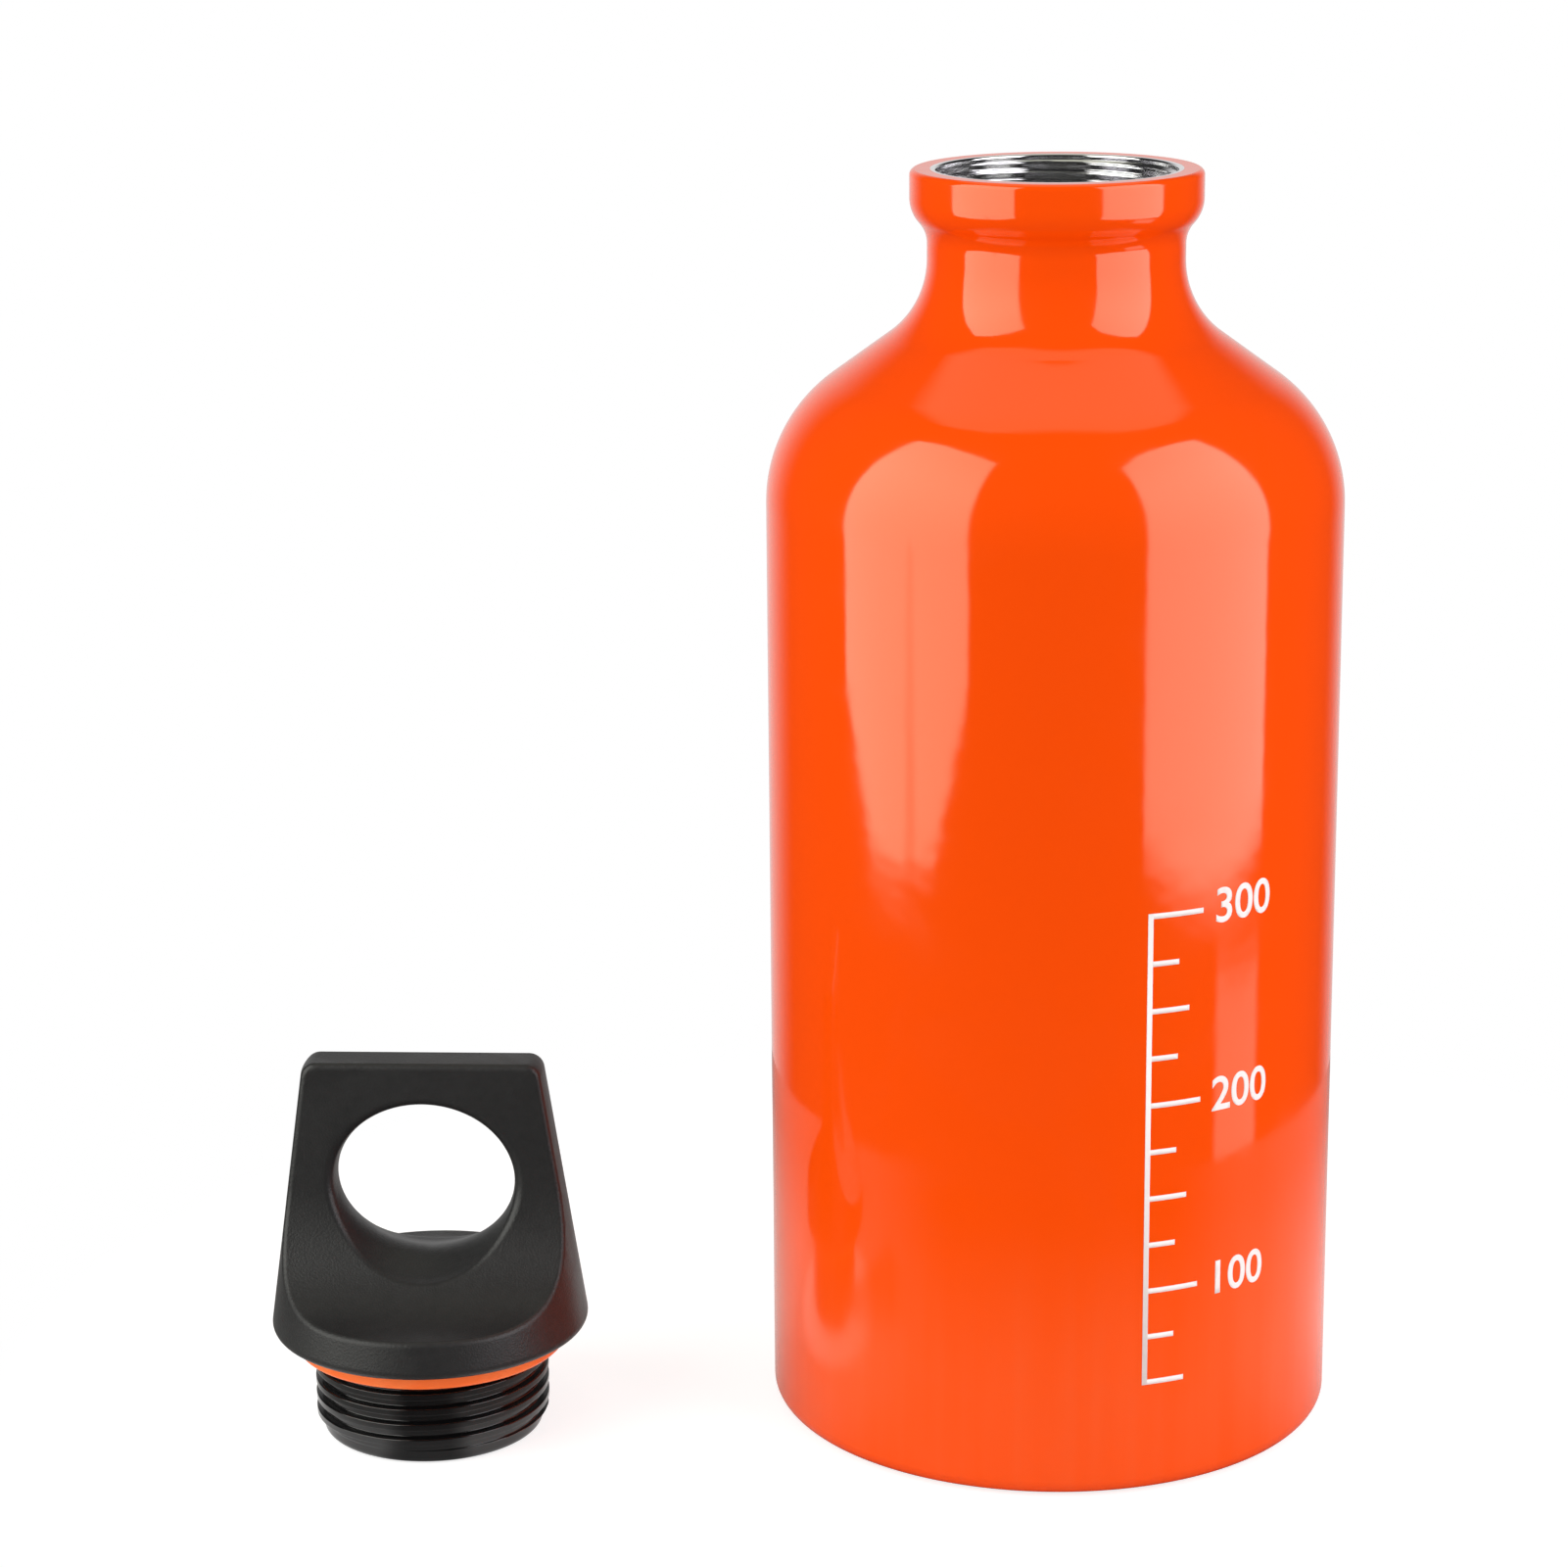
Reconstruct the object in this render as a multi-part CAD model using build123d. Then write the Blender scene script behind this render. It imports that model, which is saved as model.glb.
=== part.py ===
"""Camping fuel bottle: one-piece aluminium bottle, its crimped thread ring, and its screw cap, taken off.

Millimetres, +Z up. The origin is the centre of the bottle's foot, on the surface that it stands on.
The cap stands beside the bottle on its own threaded plug, as it is left when the bottle is filled.
"""
import os
from math import acos, asin, atan2, cos, degrees, hypot, radians, sin, sqrt

from build123d import *

# Bottle, outside
body_diameter = 73.5
bottle_height = 163.4
foot_round = 2.3
foot_land = 2.6
base_dome_rise = 4.5
shoulder_round = 19.5
shoulder_angle = 54.0
neck_sweep_round = 12.0
neck_straight = 1.9
neck_clearance = 0.7
collar_overhang = 2.2
collar_height = 7.5
collar_round = 4.5
collar_fillet = 4.0
rim_round = 0.8

# Bottle, wall and rolled lip
wall = 0.7
base_wall = 1.0
lip_width = 3.3
lip_edge_round = 0.3

# Screw thread, shared by the ring in the neck and the plug of the cap
thread_pitch = 2.1
thread_crest_diameter = 30.7
thread_depth = 0.75
thread_clearance = 0.2
thread_engagement = 0.65
thread_mouth_width = 1.55
thread_floor_width = 0.65

# Thread ring, held under the rolled lip
ring_height = 5.6
ring_seat_gap = 0.03
ring_chamfer = 0.35

# Cap, overall
cap_x = -82.0
cap_y = -10.0
cap_turn_angle = -3.0

# Cap handle
flange_diameter = 41.4
flange_edge_round = 1.2
handle_height = 36.5
handle_top_diameter = 31.6
handle_corner_round = 2.0
web_thickness = 6.0
scoop_floor_height = 5.1
scoop_round = 15.0
handle_edge_round = 0.8
finger_hole_width = 23.3
finger_hole_sill = 5.1
bow_thickness = 5.9
finger_hole_flare = 3.5
finger_hole_reach = 12.0
finger_hole_rim_round = 1.3

# Threaded plug
plug_drop = 13.9
lead_in_length = 1.6
lead_in_relief = 0.15
plug_end_round = 0.8
plug_wall = 2.1
plug_top_wall = 1.6
spigot_step = 2.15
spigot_length = 3.6
spigot_gap = 0.04
socket_end_gap = 0.3

# Sealing ring
seal_width = 3.2
seal_thickness = 2.4
seal_neck_gap = 0.12
seal_face_gap = 0.05
seal_edge_round = 0.45

# One overrun for every cut that has to pass through a face
overrun = 1.0

# Places of the finger hole's sections, as shares of its reach to each side
flare_shares = (-1.0, -0.5, -0.2, 0.0, 0.2, 0.5, 1.0)

# Two outline ends nearer than this share of the wall are the same point
joint_share = 0.001

body_radius = body_diameter / 2
thread_crest_radius = thread_crest_diameter / 2
thread_root_radius = thread_crest_radius - thread_depth
lead_in_radius = thread_root_radius - lead_in_relief
ring_crest_radius = thread_crest_radius - thread_engagement
ring_root_radius = thread_crest_radius + thread_clearance
neck_radius = ring_root_radius + neck_clearance
collar_radius = neck_radius + collar_overhang
spigot_radius = lead_in_radius - spigot_step


def revolved(outline):
    """Full turn about +Z of a closed outline drawn in the XZ plane."""
    with BuildSketch(Plane.XZ) as section:
        with BuildLine():
            for line in outline:
                add(line)
        make_face()
    return revolve(section.sketch, axis=Axis.Z)


def on_circle(centre, radius, angle):
    """Point of the XZ plane on a circle, at an angle in degrees from +X."""
    return (centre[0] + radius * cos(radians(angle)), centre[1] + radius * sin(radians(angle)))


def bend(centre, radius, start, end):
    """Arc between two angles of a circle, in degrees from +X."""
    middle = (start + end) / 2
    return ThreePointArc(*[on_circle(centre, radius, angle) for angle in (start, middle, end)])


def chain(*parts):
    """Outline of arcs and of the straight lines between them; a plain pair is a corner point."""
    lines = []
    first = last = None
    for part in parts:
        corner = isinstance(part, tuple)
        start = Vector(*part) if corner else part @ 0
        if last is not None and (start - last).length > wall * joint_share:
            lines.append(Line(last, start))
        if not corner:
            lines.append(part)
        first = start if first is None else first
        last = start if corner else part @ 1
    lines.append(Line(last, first))
    return lines


def bottle_side(inset):
    """Foot, body, shoulder and neck as arcs, moved inwards by an inset that keeps every centre.

    The shoulder arc and the neck arc share one tangent line, square to the shoulder's angle. Its length
    makes up the width between the two arcs, and with it comes the height at which the shoulder starts.
    """
    lean = radians(shoulder_angle)
    sweep_centre = (neck_radius + neck_sweep_round, fillet_centre()[1] - neck_straight)
    reach = shoulder_round + neck_sweep_round
    across = sweep_centre[0] - body_radius + shoulder_round
    straight = (reach * cos(lean) - across) / sin(lean)
    up = reach * sin(lean) + straight * cos(lean)
    shoulder = (body_radius - shoulder_round, sweep_centre[1] - up)
    return [
        bend(shoulder, shoulder_round - inset, 0, shoulder_angle),
        bend(sweep_centre, neck_sweep_round + inset, 180 + shoulder_angle, 180),
    ]


def collar_centre():
    """Centre of the rounded underside of the collar, whose circle meets the neck at the collar's height."""
    across = collar_radius - collar_round
    drop = sqrt(collar_round ** 2 - (neck_radius - across) ** 2)
    return (across, bottle_height - collar_height + drop)


def fillet_centre():
    """Centre of the hollow round under the collar, which touches both the neck and the collar's round."""
    collar = collar_centre()
    across = neck_radius + collar_fillet
    drop = sqrt((collar_round + collar_fillet) ** 2 - (across - collar[0]) ** 2)
    return (across, collar[1] - drop)


def bottle_shell():
    """One drawn piece: domed foot, straight body, shoulder, neck, and a collar rolled in at the top."""
    foot_centre = (body_radius - foot_round, foot_round)
    foot_inner = body_radius - foot_round - foot_land
    dome_radius = (foot_inner ** 2 + base_dome_rise ** 2) / (2 * base_dome_rise)
    dome_centre = (0, base_dome_rise - dome_radius)
    dome_angle = degrees(acos(foot_inner / dome_radius))
    collar = collar_centre()
    hollow = fillet_centre()
    hollow_angle = degrees(atan2(collar[1] - hollow[1], hollow[0] - collar[0]))
    pocket_round = collar_round - wall
    pocket_angle = degrees(acos((neck_radius - wall - collar[0]) / pocket_round))
    lip_radius = collar_radius - lip_width
    rim_centre = (collar_radius - rim_round, bottle_height - rim_round)
    lip_top = (lip_radius + lip_edge_round, bottle_height - lip_edge_round)
    inner_foot = (body_radius - foot_round, foot_round + base_wall - wall)
    inner_dome_radius = dome_radius + base_wall
    inner_land = foot_inner - wall
    inner_dome_angle = degrees(acos(inner_land / inner_dome_radius))
    outside = [
        bend(dome_centre, dome_radius, 90, dome_angle),
        bend(foot_centre, foot_round, -90, 0),
        *bottle_side(0),
        bend(hollow, collar_fillet, 180, 180 - hollow_angle),
        bend(collar, collar_round, -hollow_angle, 0),
        bend(rim_centre, rim_round, 0, 90),
        bend(lip_top, lip_edge_round, 90, 180),
    ]
    shoulder, sweep_in = bottle_side(wall)
    inside = [
        (lip_radius, bottle_height - wall),
        (collar_radius - wall, bottle_height - wall),
        reverse_arc(bend(collar, pocket_round, -pocket_angle, 0)),
        reverse_arc(sweep_in),
        reverse_arc(shoulder),
        bend(inner_foot, foot_round - wall, 0, -90),
        bend(dome_centre, inner_dome_radius, inner_dome_angle, 90),
    ]
    return revolved(chain(*outside, *inside))


def reverse_arc(arc):
    """The same arc, drawn from its end to its start."""
    return ThreePointArc(arc @ 1, arc @ 0.5, arc @ 0)


def groove_turns(solid, low, high, floor_radius, mouth_radius):
    """Cut a helical thread groove, turn by turn, between two heights."""
    floor = thread_floor_width / 2
    mouth = thread_mouth_width / 2
    turns = int((high - low) / thread_pitch)
    for turn in range(turns + 1):
        z = low + turn * thread_pitch
        path = Helix(thread_pitch, thread_pitch, floor_radius, center=(0, 0, z))
        with BuildSketch(Plane.XZ) as section:
            with BuildLine():
                Polyline(
                    (floor_radius, z - floor),
                    (mouth_radius, z - mouth),
                    (mouth_radius, z + mouth),
                    (floor_radius, z + floor),
                    close=True,
                )
            make_face()
        solid = solid - sweep(section.sketch, path=path, is_frenet=True)
    return solid


def neck_ring():
    """Threaded ring that fills the collar under the rolled lip, with its thread open at both ends."""
    top = bottle_height - wall - ring_seat_gap
    bottom = top - ring_height
    collar = collar_centre()
    seat_round = collar_round - wall - ring_seat_gap
    seat_angle = degrees(asin((collar[1] - bottom) / seat_round))
    blank = revolved(chain(
        (ring_crest_radius, bottom + ring_chamfer),
        (ring_crest_radius + ring_chamfer, bottom),
        bend(collar, seat_round, -seat_angle, 0),
        (collar[0] + seat_round, top),
        (ring_crest_radius + ring_chamfer, top),
        (ring_crest_radius, top - ring_chamfer),
    ))
    mouth_radius = ring_crest_radius - thread_clearance
    return groove_turns(blank, bottom - thread_pitch, top, ring_root_radius, mouth_radius)


def threaded_plug():
    """Hollow plug of the cap: lead-in, thread, the seal's neck, and the spigot that the handle holds."""
    bore_radius = lead_in_radius - plug_wall
    end_centre = (lead_in_radius - plug_end_round, plug_end_round - plug_drop)
    low = lead_in_length - plug_drop
    high = -seal_thickness - seal_face_gap
    rise = thread_crest_radius - lead_in_radius
    blank = revolved(chain(
        (bore_radius, -plug_drop),
        bend(end_centre, plug_end_round, -90, 0),
        (lead_in_radius, low),
        (thread_crest_radius, low + rise / 2),
        (thread_crest_radius, high - rise / 2),
        (lead_in_radius, high),
        (lead_in_radius, 0),
        (spigot_radius, 0),
        (spigot_radius, spigot_length - socket_end_gap),
        (0, spigot_length - socket_end_gap),
        (0, -plug_top_wall),
        (bore_radius, -plug_top_wall),
    ))
    mouth_radius = thread_crest_radius + thread_clearance
    return groove_turns(blank, low - thread_pitch / 2, high, thread_root_radius, mouth_radius)


def sealing_ring():
    """Flat elastomer ring, round at its edges, between the handle's flange and the first thread."""
    inner = lead_in_radius + seal_neck_gap
    outer = inner + seal_width
    low = seal_face_gap - seal_thickness
    high = -seal_face_gap
    with BuildSketch(Plane.XZ) as section:
        with Locations(((inner + outer) / 2, (low + high) / 2)):
            RectangleRounded(outer - inner, high - low, seal_edge_round)
    return revolve(section.sketch, axis=Axis.Z)


def handle_blank():
    """Cone of the cap, with a round lower edge, a round top corner and the socket of the plug.

    The cone is the common tangent of its two rounds, whose angle follows from their centres.
    """
    edge_centre = (flange_diameter / 2 - flange_edge_round, flange_edge_round)
    corner_centre = (handle_top_diameter / 2 - handle_corner_round, handle_height - handle_corner_round)
    across = corner_centre[0] - edge_centre[0]
    up = corner_centre[1] - edge_centre[1]
    growth = flange_edge_round - handle_corner_round
    lean = degrees(atan2(up, across) - acos(growth / hypot(across, up)))
    socket_radius = spigot_radius + spigot_gap
    return revolved(chain(
        (0, spigot_length),
        (socket_radius, spigot_length),
        (socket_radius, 0),
        bend(edge_centre, flange_edge_round, -90, lean),
        bend(corner_centre, handle_corner_round, lean, 90),
        (0, handle_height),
    ))


def scoop():
    """Front hollow of the handle: upright web face, quarter arc and level floor, right across the cone."""
    face = web_thickness / 2
    far = flange_diameter
    top = handle_height + overrun
    arc_top = scoop_floor_height + scoop_round
    middle = scoop_round * (1 - cos(radians(45)))
    with BuildSketch(Plane.YZ) as section:
        with BuildLine():
            Line((-face, top), (-face, arc_top))
            ThreePointArc(
                (-face, arc_top),
                (-face - middle, scoop_floor_height + middle),
                (-face - scoop_round, scoop_floor_height),
            )
            Polyline((-face - scoop_round, scoop_floor_height), (-far, scoop_floor_height), (-far, top), (-face, top))
        make_face()
    return extrude(section.sketch, amount=far, both=True)


def finger_hole():
    """Oval hole through the web, narrowest at the middle and opening out towards both faces.

    The oval grows with the distance from the middle as a rounded wedge does, so its waist is smooth.
    """
    reach = finger_hole_reach
    waist = web_thickness / 2
    low = scoop_floor_height + finger_hole_sill
    high = handle_height - bow_thickness
    sections = []
    for share in flare_shares:
        y = share * reach
        growth = finger_hole_flare * (hypot(y, waist) - waist) / (hypot(reach, waist) - waist)
        plane = Plane(origin=(0, y, (low + high) / 2), x_dir=(1, 0, 0), z_dir=(0, 1, 0))
        sections.append(plane * Ellipse(finger_hole_width / 2 + growth, (high - low) / 2 + growth))
    return loft(sections)


def cap_handle():
    """Handle of the cap: a cone scooped from the front and the back, with a finger hole in its web."""
    hollow = scoop()
    handle = handle_blank() - hollow - mirror(hollow, about=Plane.XZ)
    rims = handle.edges().filter_by(lambda edge: abs(edge.center().Y) > web_thickness / 4)
    rims = rims.filter_by(lambda edge: edge.center().Z > scoop_floor_height)
    rims = rims.filter_by(lambda edge: edge.geom_type != GeomType.CIRCLE or edge.center().Z < handle_height / 2)
    handle = fillet(rims, handle_edge_round) - finger_hole()
    hole_face = handle.faces().filter_by(GeomType.BSPLINE).sort_by(SortBy.AREA)[-1]
    hole_rims = hole_face.edges().filter_by(lambda edge: abs(edge.center().Y) > web_thickness / 4)
    return fillet(hole_rims, finger_hole_rim_round)


def in_place(shape):
    """Put a piece of the cap where it stands, turned about its own axis."""
    return Pos(cap_x, cap_y, plug_drop) * Rot(0, 0, cap_turn_angle) * shape


pieces = {
    "bottle_shell": bottle_shell(),
    "neck_ring": neck_ring(),
    "cap_handle": in_place(cap_handle()),
    "threaded_plug": in_place(threaded_plug()),
    "sealing_ring": in_place(sealing_ring()),
}

os.makedirs("parts", exist_ok=True)
for name, shape in pieces.items():
    export_step(shape, f"parts/{name}.step")
    print(name, round(shape.volume), "mm3", shape.is_valid)
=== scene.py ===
"""Camping fuel bottle with its screw cap standing beside it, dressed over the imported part.

Metres, +Z up, in the part's own frame. A turned piece is a section in (radius, height) carried round an axis
on a grid of numbers. A thread is a radius that also depends on the angle.
"""

import bmesh
import bpy
import numpy as np
from mathutils import Matrix, Vector


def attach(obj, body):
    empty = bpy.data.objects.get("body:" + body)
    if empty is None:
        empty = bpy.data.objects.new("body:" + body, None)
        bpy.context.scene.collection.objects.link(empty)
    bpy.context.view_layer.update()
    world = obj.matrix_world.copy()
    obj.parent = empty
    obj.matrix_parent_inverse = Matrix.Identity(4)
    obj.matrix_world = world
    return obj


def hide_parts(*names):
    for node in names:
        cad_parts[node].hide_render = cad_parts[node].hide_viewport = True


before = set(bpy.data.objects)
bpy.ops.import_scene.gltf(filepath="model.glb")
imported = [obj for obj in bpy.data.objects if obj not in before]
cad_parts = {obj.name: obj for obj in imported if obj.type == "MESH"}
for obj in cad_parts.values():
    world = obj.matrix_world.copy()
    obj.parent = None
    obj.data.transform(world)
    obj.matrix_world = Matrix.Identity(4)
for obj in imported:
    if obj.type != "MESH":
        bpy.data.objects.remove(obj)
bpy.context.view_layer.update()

# Bottle
body_radius = 0.03675
bottle_height = 0.1634
foot_round = 0.0023
foot_land = 0.0026
base_dome_rise = 0.0045
shoulder_round = 0.0195
shoulder_angle = 54.0
neck_sweep_round = 0.012
neck_straight = 0.0019
neck_radius = 0.01625
collar_radius = 0.01845
collar_height = 0.0075
collar_round = 0.0045
collar_fillet = 0.004
rim_round = 0.0008
rim_turn = 78
wall = 0.0007
base_wall = 0.001
lip_radius = 0.01515
lip_bare_width = 0.0007
lip_fall = 0.00004
lip_edge_round = 0.0003

# Screw thread
thread_pitch = 0.0021
groove_floor = 0.00065
plug_crest_radius = 0.01535
plug_root_radius = 0.0146
plug_groove_mouth = 0.00136
ring_crest_radius = 0.0147
ring_root_radius = 0.01555
ring_groove_mouth = 0.00138
ring_top = 0.16267
ring_height = 0.0056
ring_chamfer = 0.00035
ring_edge_round = 0.0002
ring_seat_gap = 0.00003

# Cap
cap_place = (-0.082, -0.01, 0.0139)
cap_turn = np.radians(-3)
plug_drop = 0.0139
lead_in_length = 0.0016
lead_in_radius = 0.01445
lead_in_slope = 1.6
plug_end_round = 0.0008
plug_wall = 0.0021
plug_top_wall = 0.0016
plug_roof_round = 0.0008
plug_mouth_round = 0.0004
spigot_radius = 0.0123
spigot_top = 0.0033
seal_inner_radius = 0.01457
seal_outer_radius = 0.01777
seal_top = -0.00005
seal_bottom = -0.00235
seal_edge_round = 0.00055

# Printed level marks
mark_step = 25
mark_levels = np.arange(50, 325, mark_step)
level_zero = 0.00283
level_rise = 0.00024493
mark_start = np.radians(15)
mark_lengths = (0.0075, 0.0042, 0.0057, 0.0042)
mark_thickness = 0.00068
print_height = 0.00003
numbered_levels = (100, 200, 300)
number_size = 0.0062
number_gap = 0.0016
number_weight = 0.00009

# Distances used in making the meshes
same_point = 1e-7
shortest_run = 2e-5
pole_gap = 0.0004
grip_seam = 2e-6


def arc(centre, radius, start, end, count):
    """Points of an arc in (radius, height): the centre plus the radius times cosine and sine of the angle."""
    angle = np.radians(np.linspace(start, end, count))
    return np.column_stack([centre[0] + radius * np.cos(angle), centre[1] + radius * np.sin(angle)])


def section(*parts):
    """Section made of arcs and corner points, with support points close to both ends of each straight run.

    The support points keep the shading of a flat run flat next to a round that meets it.
    """
    support = np.array([0.004, 0.03, 0.25, 0.5, 0.75, 0.97, 0.996])[:, None]
    rows = [np.atleast_2d(parts[0])]
    for part in parts[1:]:
        part = np.atleast_2d(part)
        start, end = rows[-1][-1], part[0]
        gap = np.hypot(*(end - start))
        if gap > shortest_run:
            rows.append(start + support * (end - start))
        rows.append(part if gap > same_point else part[1:])
    return np.vstack(rows)


def new_mesh(name, points, quads, triangles=None):
    """Mesh of all its points and faces at once, shaded smooth."""
    triangles = np.zeros((0, 3), int) if triangles is None else triangles
    corners = np.concatenate([quads.ravel(), triangles.ravel()])
    sizes = np.concatenate([np.full(len(quads), 4), np.full(len(triangles), 3)])
    mesh = bpy.data.meshes.new(name)
    mesh.vertices.add(len(points))
    mesh.vertices.foreach_set("co", np.asarray(points, np.float32).ravel())
    mesh.loops.add(len(corners))
    mesh.loops.foreach_set("vertex_index", corners.astype(np.int32))
    mesh.polygons.add(len(sizes))
    mesh.polygons.foreach_set("loop_start", np.concatenate([[0], np.cumsum(sizes)[:-1]]).astype(np.int32))
    mesh.update(calc_edges=True)
    mesh.polygons.foreach_set("use_smooth", np.ones(len(sizes), bool))
    return mesh


def turned(name, radius, height, loop=False, first_pole=None, last_pole=None, place=(0, 0, 0), turn=0.0):
    """Surface of x = radius cos(angle), y = radius sin(angle), z = height, joined all the way round.

    A row is one point of the section and a column is one angle. The section runs with the solid on its left,
    so faces point outwards. loop joins the last row to the first, and a pole is a height on the axis that
    closes an end with triangles.
    """
    rows, columns = radius.shape
    angle = turn + np.arange(columns) * 2 * np.pi / columns
    height = np.broadcast_to(height, radius.shape)
    points = np.stack([radius * np.cos(angle), radius * np.sin(angle), height], axis=-1).reshape(-1, 3)
    row = np.arange(rows if loop else rows - 1)[:, None]
    column = np.arange(columns)[None, :]
    after = (column + 1) % columns
    above = (row + 1) % rows
    here, over = row * columns, above * columns
    corners = [here + column, here + after, over + after, over + column]
    quads = np.stack([np.broadcast_to(corner, (len(row), columns)) for corner in corners], -1).reshape(-1, 4)
    fans = []
    if first_pole is not None:
        pole = np.full(columns, len(points))
        fans.append(np.column_stack([pole, after[0], column[0]]))
        points = np.vstack([points, [0, 0, first_pole]])
    if last_pole is not None:
        pole = np.full(columns, len(points))
        edge = (rows - 1) * columns
        fans.append(np.column_stack([edge + column[0], edge + after[0], pole]))
        points = np.vstack([points, [0, 0, last_pole]])
    triangles = np.vstack(fans) if fans else None
    return new_mesh(name, points + np.array(place), quads, triangles)


def carried(profile, columns):
    """Radius and height of a section on the grid, the same at every angle."""
    return np.repeat(profile[:, :1], columns, 1), np.repeat(profile[:, 1:], columns, 1)


def piece(name, mesh, body, stands_for, material_slot, *materials):
    """Object of a finished mesh that rides on a body, with its materials."""
    shown = bpy.data.objects.new(name, mesh)
    bpy.context.scene.collection.objects.link(shown)
    for material in materials:
        mesh.materials.append(material)
    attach(shown, body)
    if stands_for:
        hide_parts(stands_for)
    return shown


# Shapes


def collar_centre():
    """Centre of the collar's rounded underside, whose circle meets the neck at the collar's height."""
    across = collar_radius - collar_round
    return (across, bottle_height - collar_height + np.sqrt(collar_round ** 2 - (neck_radius - across) ** 2))


def bottle_section():
    """Foot, body, shoulder, neck and collar outside, then the rolled lip and the same line one wall inside.

    The shoulder's arc and the neck's arc share a tangent line square to the shoulder's angle. Its length
    makes up the width between the arcs. Returns the section and the number of rows that are painted.
    """
    lean = np.radians(shoulder_angle)
    collar = collar_centre()
    hollow_x = neck_radius + collar_fillet
    hollow_drop = np.sqrt((collar_round + collar_fillet) ** 2 - (hollow_x - collar[0]) ** 2)
    hollow = (hollow_x, collar[1] - hollow_drop)
    hollow_angle = np.degrees(np.arctan2(hollow_drop, hollow_x - collar[0]))
    sweep = (neck_radius + neck_sweep_round, hollow[1] - neck_straight)
    reach = shoulder_round + neck_sweep_round
    straight = (reach * np.cos(lean) - sweep[0] + body_radius - shoulder_round) / np.sin(lean)
    shoulder = (body_radius - shoulder_round, sweep[1] - reach * np.sin(lean) - straight * np.cos(lean))
    pocket_round = collar_round - wall
    pocket_angle = np.degrees(np.arccos((neck_radius - wall - collar[0]) / pocket_round))
    foot_inner = body_radius - foot_round - foot_land
    dome_radius = (foot_inner ** 2 + base_dome_rise ** 2) / (2 * base_dome_rise)
    dome = (0, base_dome_rise - dome_radius)
    dome_angle = np.degrees(np.arccos(foot_inner / dome_radius))
    inner_dome_angle = np.degrees(np.arccos((foot_inner - wall) / (dome_radius + base_wall)))
    turn = shoulder_angle
    crown = 89.5
    lip_edge = (lip_radius + lip_bare_width, bottle_height - lip_fall)
    painted = section(
        arc(dome, dome_radius, crown, dome_angle, 24),
        arc((body_radius - foot_round, foot_round), foot_round, -90, 0, 20),
        arc(shoulder, shoulder_round, 0, turn, 30),
        arc(sweep, neck_sweep_round, 180 + turn, 180, 30),
        arc(hollow, collar_fillet, 180, 180 - hollow_angle, 14),
        arc(collar, collar_round, -hollow_angle, 0, 20),
        arc((collar_radius - rim_round, bottle_height - rim_round), rim_round, 0, rim_turn, 12),
        lip_edge,
    )
    bare = section(
        lip_edge,
        arc((lip_radius + lip_edge_round, lip_edge[1] - lip_edge_round), lip_edge_round, 90, 180, 8),
        (lip_radius, bottle_height - wall),
        (collar_radius - wall, bottle_height - wall),
        arc(collar, pocket_round, 0, -pocket_angle, 20),
        arc(sweep, neck_sweep_round + wall, 180, 180 + turn, 24),
        arc(shoulder, shoulder_round - wall, turn, 0, 24),
        arc((body_radius - foot_round, foot_round + base_wall - wall), foot_round - wall, 0, -90, 12),
        arc(dome, dome_radius + base_wall, inner_dome_angle, crown, 24),
    )
    return np.vstack([painted, bare[1:]]), len(painted)


def groove_share(height, angle, start, mouth):
    """How deep a right-hand groove is, from 0 on the crest to 1 on the floor.

    The groove's centre climbs one pitch a turn from its start. The share falls from the floor's edge to the
    mouth's edge along a smooth step of the distance from that centre.
    """
    turns = (height - start) / thread_pitch - angle / (2 * np.pi)
    away = np.abs(turns - np.round(turns)) * thread_pitch
    share = np.clip((mouth / 2 - away) / (mouth / 2 - groove_floor / 2), 0, 1)
    return share * share * (3 - 2 * share)


def ring_surface(columns=288, rows=84):
    """Thread ring: an inner wall with the groove, joined to a smooth outer wall that follows the collar."""
    bottom = ring_top - ring_height
    angle = np.arange(columns) * 2 * np.pi / columns
    height = np.linspace(ring_top, bottom, rows)[:, None]
    share = groove_share(height, angle, bottom - thread_pitch, ring_groove_mouth)
    inner = ring_crest_radius + (ring_root_radius - ring_crest_radius) * share
    to_end = np.minimum(ring_top - height, height - bottom)
    inner = np.maximum(inner, ring_crest_radius + np.maximum(ring_chamfer - to_end, 0))
    collar = collar_centre()
    seat_round = collar_round - wall - ring_seat_gap
    seat_angle = np.degrees(np.arcsin((collar[1] - bottom) / seat_round))
    edge_centre = (collar[0] + seat_round - ring_edge_round, ring_top - ring_edge_round)
    outer = np.vstack([
        arc(collar, seat_round, -seat_angle, 0, 20),
        arc(edge_centre, ring_edge_round, 0, 90, 6),
    ])
    radius, level = carried(outer, columns)
    radius = np.vstack([inner, radius])
    level = np.vstack([np.repeat(height, columns, 1), level])
    return turned("thread_ring", radius, level, loop=True)


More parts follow.
